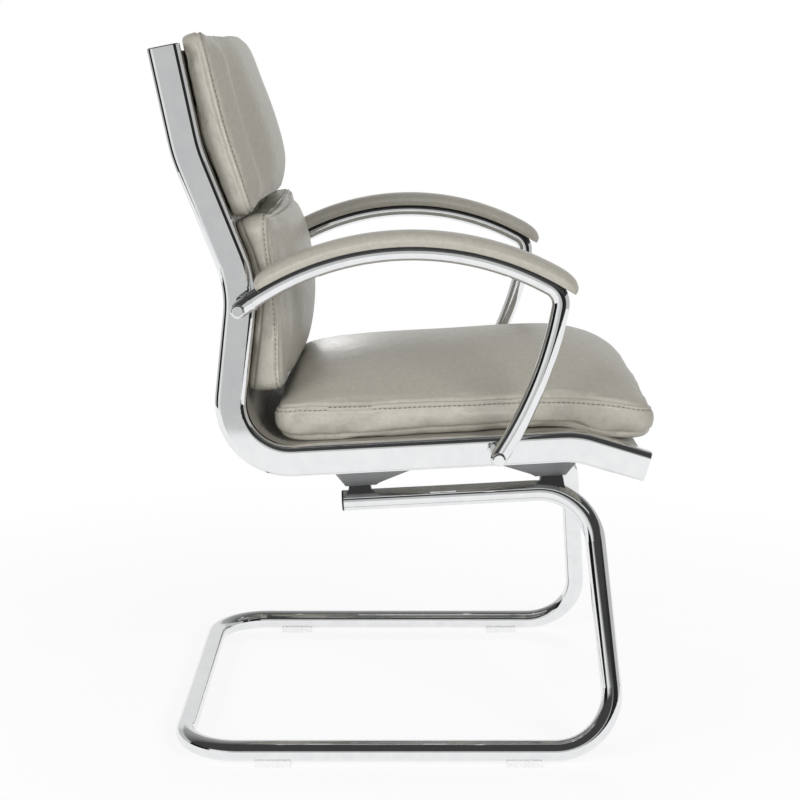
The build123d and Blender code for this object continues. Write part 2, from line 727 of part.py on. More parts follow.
NODES = {
    "sled_base": sled_base(),
    "base_end_caps": base_end_caps(),
    "floor_glides_front": glides(FLOOR_FRONT_Y + TUBE_BEND + GLIDE_LENGTH),
    "floor_glides_rear": glides(FLOOR_REAR_Y - TUBE_BEND - GLIDE_LENGTH),
    "base_posts_front": posts(front_strap),
    "base_posts_rear": posts(rear_strap),
    "base_bolts": base_bolts(),
    "base_saddle_washers": saddle_washers(),
    "base_nuts": base_nuts(),
    "spreader_front": strap(front_strap, True),
    "spreader_rear": strap(rear_strap, False),
    "spreader_bolts": strap_bolts(),
    "side_rail_left": left_rail,
    "side_rail_right": mirrored(left_rail),
    "rail_top_caps": pair(rail_cap(0)),
    "rail_front_caps": pair(rail_cap(1)),
    "panel_tabs_left": left_tabs,
    "panel_tabs_right": mirrored(left_tabs),
    "panel_screws": tab_screws(),
    "seat_panel_core": seat_core,
    "seat_panel_skin": seat_skin,
    "back_panel_core": back_core,
    "back_panel_skin": back_skin,
    "seat_lining": seat_lining(),
    "seat_foam": seat_foam,
    "seat_cover": seat_cover,
    "lumbar_foam": lumbar_foam,
    "lumbar_cover": lumbar_cover,
    "upper_foam": upper_foam,
    "upper_cover": upper_cover,
    "arm_left": left_arm,
    "arm_right": mirrored(left_arm),
    "arm_collars": pair(arm_collar()),
    "arm_washers": Compound([arm_washers(), mirrored(arm_washers())]),
    "arm_bolts": Compound([arm_bolts(), mirrored(arm_bolts())]),
    "arm_pad_left": left_pad,
    "arm_pad_right": mirrored(left_pad),
    "arm_pad_strip_left": left_strip,
    "arm_pad_strip_right": mirrored(left_strip),
    "arm_pad_screws": Compound([pad_screws(), mirrored(pad_screws())]),
}

os.makedirs("parts", exist_ok=True)
for name, shape in NODES.items():
    export_step(shape, f"parts/{name}.step")
    print(name, len(shape.solids()), round(sum(solid.volume for solid in shape.solids())))
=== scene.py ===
# %% [markdown]
# # A visitor chair on a bent chrome base
# The hard pieces of this chair, the tubes, rails, straps and fasteners, come ready made from
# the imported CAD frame. This lesson gives them their finishes and models what is soft: three
# sewn cushions, two arm pads, the cloth under the seat and all the stitching.
# The frame is loaded first, because every new piece is placed by it.

# %% Load the frame
import json
from math import cos, exp, pi, radians, sin, sqrt

import bmesh
import bpy
from mathutils import Matrix, Vector, noise
from mathutils.bvhtree import BVHTree

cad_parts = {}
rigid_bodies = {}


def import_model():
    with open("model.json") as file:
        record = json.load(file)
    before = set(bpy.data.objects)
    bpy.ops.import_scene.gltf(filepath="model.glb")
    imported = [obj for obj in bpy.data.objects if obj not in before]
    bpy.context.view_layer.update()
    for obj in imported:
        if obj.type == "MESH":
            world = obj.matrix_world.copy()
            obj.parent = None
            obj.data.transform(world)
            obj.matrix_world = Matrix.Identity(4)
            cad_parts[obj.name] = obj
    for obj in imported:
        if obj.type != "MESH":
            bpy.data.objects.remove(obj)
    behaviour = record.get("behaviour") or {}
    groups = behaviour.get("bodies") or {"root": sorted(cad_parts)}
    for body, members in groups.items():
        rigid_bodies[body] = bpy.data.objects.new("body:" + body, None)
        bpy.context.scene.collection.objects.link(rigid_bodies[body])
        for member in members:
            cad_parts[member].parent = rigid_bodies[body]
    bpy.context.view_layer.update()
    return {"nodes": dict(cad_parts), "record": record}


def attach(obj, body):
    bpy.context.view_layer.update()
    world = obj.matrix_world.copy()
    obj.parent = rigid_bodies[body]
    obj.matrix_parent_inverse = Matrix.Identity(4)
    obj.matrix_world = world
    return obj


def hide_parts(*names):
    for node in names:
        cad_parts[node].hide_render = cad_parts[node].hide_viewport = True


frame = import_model()
bpy.ops.object.select_all(action="DESELECT")

# %% [markdown]
# The photograph was taken from the sitter's right, from nearly the height of the chair's top,
# with a long lens that looks slightly down. The lens is matched first: the tubes of the base
# gave the distance, and their vanishing lines the tilt.

# %% Camera
CAMERA_SPOT = (-2.3072, 0.009, 0.9108)
CAMERA_PITCH = 11.577
LENS_MM = 74.25
bpy.ops.object.camera_add(location=CAMERA_SPOT, rotation=(radians(90 - CAMERA_PITCH), 0, radians(-90)))
camera = bpy.context.object
camera.name = "photo_camera"
camera.data.lens = LENS_MM
camera.data.sensor_width = 36
bpy.context.scene.camera = camera
bpy.context.scene.view_settings.view_transform = "Standard"
print("camera at", CAMERA_SPOT)

# %% [markdown]
# Materials are small node trees. Two helpers keep them short: one adds a node and fills its
# sockets, the other starts a material with its principled shader and its coordinates. Copying
# one big tree for each finish would work too, but would hide what differs.


# %% Node helpers
def add_node(tree, kind, sockets=None, **settings):
    made = tree.nodes.new(kind)
    for name, value in settings.items():
        setattr(made, name, value)
    for name, value in (sockets or {}).items():
        made.inputs[name].default_value = value
    return made


def new_finish(name, **sockets):
    finish = bpy.data.materials.new(name)
    finish.use_nodes = True
    tree = finish.node_tree
    shader = tree.nodes["Principled BSDF"]
    for key, value in sockets.items():
        shader.inputs[key.replace("_", " ")].default_value = value
    place = add_node(tree, "ShaderNodeTexCoord").outputs["Object"]
    return finish, tree, shader, place


print("node helpers ready")

# %% [markdown]
# Every finish varies a little over its surface. A noise on object coordinates gives the pattern,
# and it is led to the colour, the roughness or the bump by one short call each. Most of a noise
# lies in the middle of its range, so that stretch of it is spread over the wanted values.

# %% Pattern helpers
NOISE_LOW, NOISE_HIGH = 0.3, 0.7


def noise_at(tree, place, scale, detail=3.0, rough=0.5):
    cloud = add_node(tree, "ShaderNodeTexNoise", {"Scale": scale, "Detail": detail, "Roughness": rough})
    tree.links.new(place, cloud.inputs["Vector"])
    return cloud.outputs["Fac"]


def spread(tree, source, low, high, start=NOISE_LOW, end=NOISE_HIGH):
    """Maps a pattern onto the range low to high."""
    sockets = {"From Min": start, "From Max": end, "To Min": low, "To Max": high}
    fit = add_node(tree, "ShaderNodeMapRange", sockets)
    tree.links.new(source, fit.inputs["Value"])
    return fit.outputs["Result"]


def blend_colours(tree, source, one, two):
    ramp = add_node(tree, "ShaderNodeValToRGB")
    ramp.color_ramp.elements[0].position = NOISE_LOW
    ramp.color_ramp.elements[1].position = NOISE_HIGH
    ramp.color_ramp.elements[0].color = (*one, 1)
    ramp.color_ramp.elements[1].color = (*two, 1)
    tree.links.new(source, ramp.inputs["Fac"])
    return ramp.outputs["Color"]


def paint(tree, shader, source, one, two):
    """Colours a shader from one to two, as a pattern goes from low to high."""
    tree.links.new(blend_colours(tree, source, one, two), shader.inputs["Base Color"])


def dull(tree, shader, source, low, high):
    """Lets the roughness follow a pattern."""
    tree.links.new(spread(tree, source, low, high), shader.inputs["Roughness"])


def add_bump(tree, shader, height, strength, distance, under=None):
    bump = add_node(tree, "ShaderNodeBump", {"Strength": strength, "Distance": distance})
    tree.links.new(height, bump.inputs["Height"])
    if under:
        tree.links.new(under, bump.inputs["Normal"])
    tree.links.new(bump.outputs["Normal"], shader.inputs["Normal"])
    return bump.outputs["Normal"]


print("pattern helpers ready")

# %% [markdown]
# Chrome plate is almost a mirror, so it shows the room more than itself. What makes it read
# as plated tube and not as glass is the faint haze of polishing and a trace of waviness in
# the drawn steel underneath, both far below a tenth of a millimetre.

# %% Chrome plate
chrome, tree, shader, place = new_finish("chrome_plate", Metallic=1.0)
haze = noise_at(tree, place, 55.0, 4.0)
paint(tree, shader, haze, (0.80, 0.81, 0.82), (0.86, 0.865, 0.87))
dull(tree, shader, haze, 0.035, 0.075)
add_bump(tree, shader, noise_at(tree, place, 35.0, 1.0), 0.02, 0.0004)
print("made", chrome.name)

# %% [markdown]
# The leatherette is a warm grey. Close up it has a fine pebbled grain, over it soft creases a
# few centimetres long, and the colour drifts a little from place to place. All three come
# from patterns on object coordinates, so the grain has the same size on every piece.

# %% Leatherette
leather, tree, shader, place = new_finish("warm_grey_leatherette", Coat_Weight=0.18, Coat_Roughness=0.22)
drift = noise_at(tree, place, 150.0, 8.0, 0.75)
paint(tree, shader, drift, (0.316, 0.299, 0.255), (0.382, 0.364, 0.316))
dull(tree, shader, noise_at(tree, place, 140.0, 4.0), 0.34, 0.46)
pebble = add_node(tree, "ShaderNodeTexVoronoi", {"Scale": 620.0}, feature="SMOOTH_F1")
tree.links.new(place, pebble.inputs["Vector"])
grain = add_bump(tree, shader, pebble.outputs["Distance"], 0.22, 0.0006)
crease = noise_at(tree, place, 48.0, 6.0, 0.62)
add_bump(tree, shader, crease, 0.36, 0.004, under=grain)
print("made", leather.name)

# %% [markdown]
# The straps under the seat are powder coated in silver grey, with the slight orange peel that
# baked powder leaves. The weld-on posts have the same coat in black.


# %% Powder coats
def powder_coat(name, dark, light):
    finish, tree, shader, place = new_finish(name, Metallic=0.25)
    cloud = noise_at(tree, place, 30.0)
    paint(tree, shader, cloud, dark, light)
    dull(tree, shader, cloud, 0.34, 0.46)
    add_bump(tree, shader, noise_at(tree, place, 700.0, 2.0), 0.15, 0.0004)
    return finish


silver_coat = powder_coat("silver_powder_coat", (0.145, 0.148, 0.152), (0.19, 0.194, 0.20))
black_coat = powder_coat("black_powder_coat", (0.012, 0.012, 0.013), (0.022, 0.022, 0.023))
print("made", silver_coat.name, black_coat.name)

# %% [markdown]
# Small hardware is zinc plated: a dull metal whose crystals break the reflections up. The
# cells of a Voronoi pattern look much like those crystals, which a plain noise doesn't.

# %% Zinc plate
zinc, tree, shader, place = new_finish("zinc_plate", Metallic=1.0)
spangle = add_node(tree, "ShaderNodeTexVoronoi", {"Scale": 420.0})
tree.links.new(place, spangle.inputs["Vector"])
paint(tree, shader, spangle.outputs["Distance"], (0.46, 0.47, 0.48), (0.62, 0.62, 0.62))
dull(tree, shader, noise_at(tree, place, 260.0), 0.26, 0.42)
print("made", zinc.name)

# %% [markdown]
# The tube plugs are moulded black plastic with a fine spark-eroded texture, and the floor
# glides are clear plastic that the floor has already scuffed a little.

# %% Plastics
black_plastic, tree, shader, place = new_finish("black_moulded_plastic")
mould = noise_at(tree, place, 900.0, 3.0)
paint(tree, shader, mould, (0.010, 0.010, 0.011), (0.022, 0.022, 0.023))
dull(tree, shader, mould, 0.36, 0.52)
add_bump(tree, shader, mould, 0.2, 0.0003)

clear_plastic, tree, shader, place = new_finish("clear_glide_plastic", IOR=1.49)
scuff = noise_at(tree, place, 60.0, 3.0)
paint(tree, shader, scuff, (0.84, 0.85, 0.86), (0.93, 0.93, 0.93))
dull(tree, shader, scuff, 0.10, 0.24)
tree.links.new(spread(tree, scuff, 0.24, 0.30), shader.inputs["Alpha"])
print("made", black_plastic.name, clear_plastic.name)

# %% [markdown]
# Inside the panels and pads are plywood cores. They hardly show, yet they get their veneer
# lines, because someone may open the model.

# %% Plywood
plywood, tree, shader, place = new_finish("plywood_core")
veneer = add_node(tree, "ShaderNodeTexWave", {"Scale": 90.0, "Distortion": 3.0, "Detail": 3.0})
tree.links.new(place, veneer.inputs["Vector"])
paint(tree, shader, veneer.outputs["Fac"], (0.42, 0.29, 0.17), (0.58, 0.43, 0.27))
dull(tree, shader, noise_at(tree, place, 200.0), 0.55, 0.75)
print("made", plywood.name)

# %% [markdown]
# The underside of the seat is closed by a non-woven cloth. It has no threads to show: its
# short fibres lie every way, so a fine noise does for colour and surface.

# %% Non-woven cloth
lining_cloth, tree, shader, place = new_finish("grey_non_woven")
fibres = noise_at(tree, place, 900.0, 5.0, 0.7)
paint(tree, shader, fibres, (0.25, 0.242, 0.215), (0.34, 0.33, 0.30))
dull(tree, shader, fibres, 0.82, 0.95)
add_bump(tree, shader, fibres, 0.35, 0.0006)
print("made", lining_cloth.name)

# %% [markdown]
# Each CAD node now takes the finish that its record slot names. The foam never shows, so it
# takes the finish of its cover. Dressing by slot, and not node by node, misses no piece.

# %% Dress the CAD nodes
FINISHES = {
    "chrome": chrome,
    "grey_steel": silver_coat,
    "black_steel": black_coat,
    "zinc_hardware": zinc,
    "black_plastic": black_plastic,
    "clear_plastic": clear_plastic,
    "grey_leather": leather,
    "plywood": plywood,
    "foam": leather,
    "grey_lining": lining_cloth,
}
for part in frame["record"]["subparts"]:
    node = frame["nodes"][part["node"]]
    node.data.materials.clear()
    node.data.materials.append(FINISHES[part["material_slot"]])
print("dressed", len(frame["nodes"]), "CAD nodes")

# %% [markdown]
# Sewing thread is a bonded polyester, darker than the cover, so the stitches read as dark
# dashes. Its twist is too fine to model on hundreds of stitches, so a wave in its colour paints
# the light and shade of the twisted strands.

# %% Thread
thread, tree, shader, place = new_finish("sewing_thread")
# The light and dark bands of this wave are painted shade of the twisted strands.
twist_shade = add_node(tree, "ShaderNodeTexWave", {"Scale": 900.0, "Distortion": 1.0}, bands_direction="DIAGONAL")
tree.links.new(place, twist_shade.inputs["Vector"])
paint(tree, shader, twist_shade.outputs["Fac"], (0.120, 0.114, 0.098), (0.200, 0.191, 0.164))
dull(tree, shader, noise_at(tree, place, 500.0), 0.45, 0.65)
print("made", thread.name)

# %% [markdown]
# The three cushions are boxed: a crowned face, a side band about 30 mm deep, and a flat
# underside on the board. They could be blocks under a subdivision surface, but then no edge
# would lie where the panels are sewn. So a grid is added for the face and its border is
# extruded down the band and in under the cushion: the extruded loops run along the seams.
# A few rows along each cushion then give its size, in millimetres from the rail line: where
# the row is, the height of the board, the height of the seam, the crown and the half width.


# %% Rows along a cushion
def row_at(rows, along):
    """Board, seam, crown and half width at a distance along the cushion, as a smooth curve."""
    along = min(max(along, rows[0][0]), rows[-1][0])
    at = next(n for n, row in enumerate(rows[1:]) if along <= row[0])
    near = [rows[max(at - 1, 0)], rows[at], rows[at + 1], rows[min(at + 2, len(rows) - 1)]]
    length = near[2][0] - near[1][0]
    t = (along - near[1][0]) / length
    values = []
    for before, one, two, after in list(zip(*near))[1:]:
        start = (two - before) / (near[2][0] - near[0][0]) * length
        end = (after - one) / (near[3][0] - near[1][0]) * length
        values.append(
            one * (1 + 2 * t) * (1 - t) ** 2 + start * t * (1 - t) ** 2
            + two * t * t * (3 - 2 * t) - end * t * t * (1 - t)
        )
    return values


def ease(value, low, high):
    share = min(1.0, max(0.0, (value - low) / (high - low)))
    return share * share * (3 - 2 * share)


def rim_point(u, v, half_x, half_y, corner):
    """Takes a point on the unit square's rim to a rounded rectangle."""
    x, y = u * half_x, v * half_y
    over_x, over_y = abs(x) - half_x + corner, abs(y) - half_y + corner
    if over_x > 0 and over_y > 0:
        turn = (over_x - over_y) / corner * pi / 4
        x = (half_x - corner + corner * sin(pi / 4 + turn)) * (1 if x > 0 else -1)
        y = (half_y - corner + corner * cos(pi / 4 + turn)) * (1 if y > 0 else -1)
    return x, y


print("rows and rims ready")

# %% [markdown]
# Foam fills the middle of a sewn cover and leaves its margin slack, so the face stays low for
# a few centimetres inside the seam and then rises to the crown, and the long sides draw in
# between the corners. First come the loops themselves, in an order that each run repeats.

# %% Cushion mesh
FACE_CELLS = 44
BAND_SHARES = (0.06, 0.15, 0.27, 0.45, 0.65, 0.84, 0.95, 1.0)
BORDER_SHARES = (0.45, 1.0)
UNDER_SHARES = (0.985, 0.95, 0.90)
SIDE_LOOPS = len(BAND_SHARES) + len(BORDER_SHARES)


def order_key(spot):
    """A number that grows along X, then Y, then down the loops."""
    down, back, right = -spot.z * 4, (spot.y + 1) * 4 * FACE_CELLS, (spot.x + 1) * 4 * FACE_CELLS
    return round(down) * 1e6 + round(back) * 1e3 + round(right)


def put_in_order(piece):
    """Filling a hole numbers its points as memory has it; a fixed order makes each run alike."""
    mesh = bmesh.new()
    mesh.from_mesh(piece.data)
    mesh.verts.sort(key=lambda point: order_key(point.co))
    mesh.edges.sort(key=lambda edge: order_key((edge.verts[0].co + edge.verts[1].co) / 2))
    mesh.faces.sort(key=lambda face: order_key(face.calc_center_median()))
    mesh.to_mesh(piece.data)
    mesh.free()


def sewn_grid(name):
    """Closed mesh of a face, a band and an underside; Z holds the number of the loop."""
    bpy.ops.object.select_all(action="DESELECT")
    bpy.ops.mesh.primitive_grid_add(x_subdivisions=FACE_CELLS, y_subdivisions=FACE_CELLS, size=2)
    piece = bpy.context.object
    piece.name = name
    bpy.ops.object.mode_set(mode="EDIT")
    bpy.ops.mesh.select_all(action="SELECT")
    bpy.ops.mesh.region_to_loop()
    for _ in range(SIDE_LOOPS + len(UNDER_SHARES)):
        bpy.ops.mesh.extrude_edges_move(TRANSFORM_OT_translate={"value": (0, 0, -1)})
    bpy.ops.mesh.fill_grid(span=FACE_CELLS)
    bpy.ops.mesh.select_all(action="SELECT")
    bpy.ops.mesh.normals_make_consistent(inside=False)
    bpy.ops.object.mode_set(mode="OBJECT")
    put_in_order(piece)
    return piece


print("a cushion has", 4 * FACE_CELLS, "points round its seam")

# %% [markdown]
# The loops are then laid on the cushion's form. The seam is a rounded rectangle in plan, the face
# rises from it over the valley to the crown, the band bulges, and the border tucks in below.
# How far each point lies from the seam is kept as an attribute, for the seams later on. All
# points of the underside get one number, lower than any on the band.

# %% Cushion form
SEAM_LOOP, UNDER_MARK = "from_seam", -90.0
SEAM_CROWDING = 1.45
PULL_FROM = 0.6
ROLL_IN, ROLL_WIDE, ROLL_FADE = 38, 22, 40
UNDER_HALF = 230


def seam_spot(rows, u, v, corner, pull):
    """Spot on the seam for a point on the unit square's rim, in plan."""
    middle, half_y = (rows[0][0] + rows[-1][0]) / 2, (rows[-1][0] - rows[0][0]) / 2
    _, rim_y = rim_point(u, v, half_y, half_y, corner)
    half = row_at(rows, middle + rim_y)[3]
    rim_x, rim_y = rim_point(u, v, half, half_y, corner)
    draw = pull * (1 - (rim_x / half) ** 2) * ease(abs(rim_y), half_y * PULL_FROM, half_y)
    return rim_x, rim_y - draw * (1 if rim_y > 0 else -1), middle, half_y


def lay_out(piece, rows, corner, pull, bulge, valley, roll, border, tuck):
    """Moves the loops to the cushion's form and notes each point's distance from the seam."""
    marks, under = [], []
    for point in piece.data.vertices:
        u, v, level = point.co.x, point.co.y, round(-point.co.z)
        ring = max(abs(u), abs(v), 1e-6)
        rim_x, rim_y, middle, half_y = seam_spot(rows, u / ring, v / ring, corner, pull)
        if level == 0:
            ring = 1 - (1 - ring) ** SEAM_CROWDING
            x, y = rim_x * ring, rim_y * ring
            board, seam, crown, half = row_at(rows, middle + y)
            inside = half - abs(x)
            depth, start, end = valley
            arch = (1 - (x / half) ** 2) * (1 - depth + depth * ease(inside, start, end))
            welt = exp(-(((inside - ROLL_IN) / ROLL_WIDE) ** 2)) * ease(half_y - abs(y), 0, ROLL_FADE)
            z = seam + crown * arch + roll * welt
            marks.append((1 - ring) * min(half, half_y))
        elif level <= SIDE_LOOPS:
            board, seam, crown, half = row_at(rows, middle + rim_y)
            if level <= len(BAND_SHARES):
                share = BAND_SHARES[level - 1]
                out = bulge * sin(pi * share)
                z = seam + (board + border - seam) * share
            else:
                share = BORDER_SHARES[level - len(BAND_SHARES) - 1]
                out = -tuck * share
                z = board + border * (1 - share)
            x, y = rim_x * (1 + out / half), rim_y * (1 + out / half_y)
            marks.append(z - seam)
        else:
            share = UNDER_SHARES[min(level - SIDE_LOOPS, len(UNDER_SHARES)) - 1] * ring
            x, y = rim_x * share, rim_y * share
            x, y = x * (1 - tuck / UNDER_HALF), y * (1 - tuck / half_y)
            z = row_at(rows, middle + y)[0]
            marks.append(UNDER_MARK)
            under.append(point.index)
        point.co = (x, middle + y, z)
    piece.vertex_groups.new(name="held").add(under, 1.0, "REPLACE")
    piece.data.attributes.new(SEAM_LOOP, "FLOAT", "POINT").data.foreach_set("value", marks)


print("form ready,", SIDE_LOOPS, "loops down the side")

# %% [markdown]
# The cover is then filled. Blender's cloth gets a little pressure and no gravity, with the
# underside held where it lies on the board. The cloth is let out by about one percent, as a worn
# cover is, so the pressure leaves soft puckers along the seams instead of a drum. A perfectly
# even cover would buckle either way by chance, so it starts uneven by a fraction of a
# millimetre, and each run gives the same folds. How far a point may move is capped, because
# the cushion has to stay in the room that the frame gives.

# %% Filling a cover
SIM_FRAMES = 20
UNEVEN, UNEVEN_SCALE = 0.2, 0.04
TO_METRES = 0.001


def fill_cover(piece, pressure, cap, slack):
    """Runs the cloth in metres on a piece that is made in millimetres."""
    rest = [point.co.copy() for point in piece.data.vertices]
    normals = [point.normal.copy() for point in piece.data.vertices]
    for point, normal in zip(piece.data.vertices, normals):
        point.co += normal * UNEVEN * noise.noise(point.co * UNEVEN_SCALE)
    piece.data.transform(Matrix.Scale(TO_METRES, 4))
    cloth = piece.modifiers.new("filling", "CLOTH")
    cloth.settings.quality = 6
    cloth.settings.mass = 0.25
    cloth.settings.tension_stiffness = 18
    cloth.settings.compression_stiffness = 18
    cloth.settings.shear_stiffness = 8
    cloth.settings.bending_stiffness = 0.6
    cloth.settings.air_damping = 6
    cloth.settings.shrink_min = -slack
    cloth.settings.use_pressure = True
    cloth.settings.uniform_pressure_force = pressure
    cloth.settings.vertex_group_mass = "held"
    cloth.settings.effector_weights.gravity = 0
    cloth.point_cache.frame_start = 1
    cloth.point_cache.frame_end = SIM_FRAMES
    for number in range(1, SIM_FRAMES + 1):
        bpy.context.scene.frame_set(number)
    bpy.context.view_layer.objects.active = piece
    bpy.ops.object.modifier_apply(modifier=cloth.name)
    bpy.context.scene.frame_set(1)
    piece.data.transform(Matrix.Scale(1 / TO_METRES, 4))
    most = 0.0
    for point, start in zip(piece.data.vertices, rest):
        move = point.co - start
        most = max(most, move.length)
        point.co = start + move * min(1.0, cap / max(move.length, 1e-6))
    print(piece.name, "moved up to", round(most, 1), "mm, capped at", cap)


def smooth_once(piece):
    finer = piece.modifiers.new("finer", "SUBSURF")
    finer.levels = finer.render_levels = 1
    bpy.context.view_layer.objects.active = piece
    bpy.ops.object.modifier_apply(modifier=finer.name)


print("covers are filled in", SIM_FRAMES, "frames")

# %% [markdown]
# A seam is a narrow ditch: the thread pulls both panels down to the foam, and beside it the
# leather stands up in a small roll, with a second, shallower dip under the row of stitches.
# The distance from the seam was noted on every point before the cloth ran, so all this can be
# pressed in now, after the last smoothing. Another ditch runs low on the band, over the border,
# the band waves a little, and the leather puckers close to the seam.

# %% Seams
STITCH_DOWN = 4.6
DITCH_WIDE = 1.6
UNDER_FROM = -80.0
WAVE, WAVE_SCALE, WAVE_FROM, WAVE_TO = 0.9, 0.03, 4, 14
PUCKER, PUCKER_SCALE, PUCKER_REACH = 0.8, 0.11, 14
SEAM_FORM = [  # distance from the seam, height, width
    (0.0, -1.8, 1.2),
    (-2.4, 1.2, 1.3),
    (-STITCH_DOWN, -1.0, 1.3),
    (-8.0, 0.9, 2.2),
    (4.0, 0.8, 2.2),
]


def press_seams(piece, rows, border, ditch):
    marks = [mark.value for mark in piece.data.attributes[SEAM_LOOP].data]
    normals = [point.normal.copy() for point in piece.data.vertices]
    for point, normal, mark in zip(piece.data.vertices, normals, marks):
        if mark < UNDER_FROM:
            continue
        board, seam, _, _ = row_at(rows, point.co.y)
        move = sum(height * exp(-(((mark - spot) / width) ** 2)) for spot, height, width in SEAM_FORM)
        if mark < -1:
            move -= ditch * exp(-(((mark + seam - board - border) / DITCH_WIDE) ** 2))
            move += WAVE * noise.noise(point.co * WAVE_SCALE) * ease(-mark, WAVE_FROM, WAVE_TO)
        move += noise.noise(point.co * PUCKER_SCALE) * PUCKER * exp(-((mark / PUCKER_REACH) ** 2))
        point.co += normal * move


print("seams ready")

# %% [markdown]
# One stitch is a small capsule. It is modelled once, from a sphere that is stretched along its
# thread, and every row of stitching is made of copies of it.

# %% One stitch
STITCH_LENGTH, STITCH_R = 4.6, 0.75
bpy.ops.object.select_all(action="DESELECT")
bpy.ops.mesh.primitive_uv_sphere_add(segments=6, ring_count=5, radius=1.0)
stitch = bpy.context.object
stitch.name = "stitch_pattern"
for point in stitch.data.vertices:
    point.co = (point.co.z * STITCH_LENGTH / 2, point.co.x * STITCH_R, point.co.y * STITCH_R)
print("stitch has", len(stitch.data.polygons), "faces")

# %% [markdown]
# Stitches follow a line at an even pitch. On a cushion that line runs round the band, a few
# millimetres below the seam, so it is worked out from the rows that give the seam its place.


# %% Lines for stitches
def along_line(points, pitch, closed=True):
    """Even spots along a run of points, each with its direction."""
    run = points + points[:1] if closed else points
    spots, left = [], pitch / 2
    for one, two in zip(run, run[1:]):
        length = (two - one).length
        while left < length:
            spots.append((one.lerp(two, left / length), (two - one).normalized()))
            left += pitch
        left -= length
    return spots


def rim_line(rows, corner, pull, down):
    """Line round the band, a distance down from the seam."""
    line = []
    for quarter in range(4):
        for step in range(FACE_CELLS):
            u, v = -1 + 2 * step / FACE_CELLS, -1.0
            for _ in range(quarter):
                u, v = -v, u
            x, y, middle, _ = seam_spot(rows, u, v, corner, pull)
            line.append(Vector((x, middle + y, row_at(rows, middle + y)[1] - down)))
    return line


print("lines ready")

# %% [markdown]
# Sewing snaps every spot on a line to the finished surface, with a search tree of its faces, and
# lays a copy of the stitch there, turned along the line. Each leans a little, as a lockstitch
# does. A Shrinkwrap modifier would find the surface too, but would flatten the stitches on it.

# %% Sewing
STITCH_PITCH, STITCH_LEAN, STITCH_RAISE = 6.4, 0.12, 0.1


def surface_tree(surface, scale=1.0):
    skin = bmesh.new()
    skin.from_mesh(surface.data)
    bmesh.ops.scale(skin, vec=(scale, scale, scale), verts=skin.verts)
    tree = BVHTree.FromBMesh(skin)
    skin.free()
    return tree


def sew(name, tree, lines, closed=True):
    """Stitches along lines of points, laid on the surface that the tree holds."""
    made = bmesh.new()
    for line in lines:
        for spot, way in along_line(line, STITCH_PITCH, closed):
            hit, normal, _, _ = tree.find_nearest(spot)
            across = normal.cross(way).normalized()
            ahead = (across.cross(normal) + across * STITCH_LEAN).normalized()
            across = normal.cross(ahead)
            turn = Matrix((ahead, across, normal)).transposed().to_4x4()
            before = len(made.verts)
            made.from_mesh(stitch.data)
            made.verts.ensure_lookup_table()
            lay = Matrix.Translation(hit + normal * STITCH_RAISE) @ turn
            bmesh.ops.transform(made, matrix=lay, verts=made.verts[before:])
    mesh = bpy.data.meshes.new(name)
    made.to_mesh(mesh)
    made.free()
    row = bpy.data.objects.new(name, mesh)
    bpy.context.scene.collection.objects.link(row)
    mesh.materials.append(thread)
    mesh.polygons.foreach_set("use_smooth", [True] * len(mesh.polygons))
    return row


print("one stitch every", STITCH_PITCH, "mm")

# %% [markdown]
# Now the three cushions. Each has a frame of its own on the bent board: the seat's lies along
# the seat rail, the two back ones along the chords of the bends that they sit in. The piece is
# made in that frame in millimetres and then placed in the chair in metres. One recipe makes
# all three, and what differs between them is given as its arguments.


# %% Cushion recipe
def place_in_chair(piece, origin, up):
    """From a cushion's own frame to the chair's; up is the way its face looks, in side view."""
    out = Vector((0, *up)).normalized()
    along = out.cross(Vector((1, 0, 0)))
    turn = Matrix((Vector((1, 0, 0)), along, out)).transposed().to_4x4()
    piece.data.transform(Matrix.Scale(TO_METRES, 4) @ Matrix.Translation(Vector((0, *origin))) @ turn)
    piece.data.update()


def make_cushion(
    name, origin, up, rows, nodes,
    corner, pull, bulge, valley, roll, border, tuck, ditch, pressure, slack, cap,
):
    piece = sewn_grid(name)
    lay_out(piece, rows, corner, pull, bulge, valley, roll, border, tuck)
    fill_cover(piece, pressure, cap, slack)
    smooth_once(piece)
    press_seams(piece, rows, border, ditch)
    piece.data.update()
    piece.data.polygons.foreach_set("use_smooth", [True] * len(piece.data.polygons))
    piece.data.materials.append(leather)
    lines = [rim_line(rows, corner, pull, down=STITCH_DOWN)]
    rows_of_thread = sew(name + "_stitching", surface_tree(piece), lines)
    for made in (piece, rows_of_thread):
        place_in_chair(made, origin, up)
        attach(made, "root")
    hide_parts(*nodes)
    print(name, len(piece.data.polygons), "faces,", len(rows_of_thread.data.polygons), "on its stitches")
    return piece


print("recipe ready")

# %% [markdown]
# The seat is the fullest of the three. Its front turns down over the end of the board as a deep
# lip, which is why the first rows fall, and a flat border shows under the band.

# %% Seat cushion
SEAT_ROWS = [
    (-320.0, 1.0, 37.5, 9.0, 234.0),
    (-300.0, 0.0, 42.5, 29.0, 233.6),
    (-262.0, 3.5, 51.0, 44.0, 232.8),
    (-205.0, 18.9, 59.0, 49.0, 231.5),
    (-60.0, 18.9, 61.5, 46.5, 231.0),
    (70.0, 18.9, 64.0, 41.5, 231.5),
    (140.0, 19.7, 65.0, 29.0, 232.8),
    (168.0, 24.9, 62.0, 8.0, 234.0),
]
SEAT_FRAME = (0, 418.694), (0.05379, 0.998552)
seat = make_cushion(
    "seat_cushion", *SEAT_FRAME, SEAT_ROWS,
    nodes=("seat_cover", "seat_foam"),
    corner=26, pull=4, bulge=4, valley=(0.35, 0, 85), roll=0,
    border=7, tuck=5, ditch=1.6, pressure=1.6, slack=0.008, cap=5,
)

# %% [markdown]
# The lumbar cushion lies over the bend of the back, so the board under it rises in the middle.
# A shallow roll runs along both sides of its face.

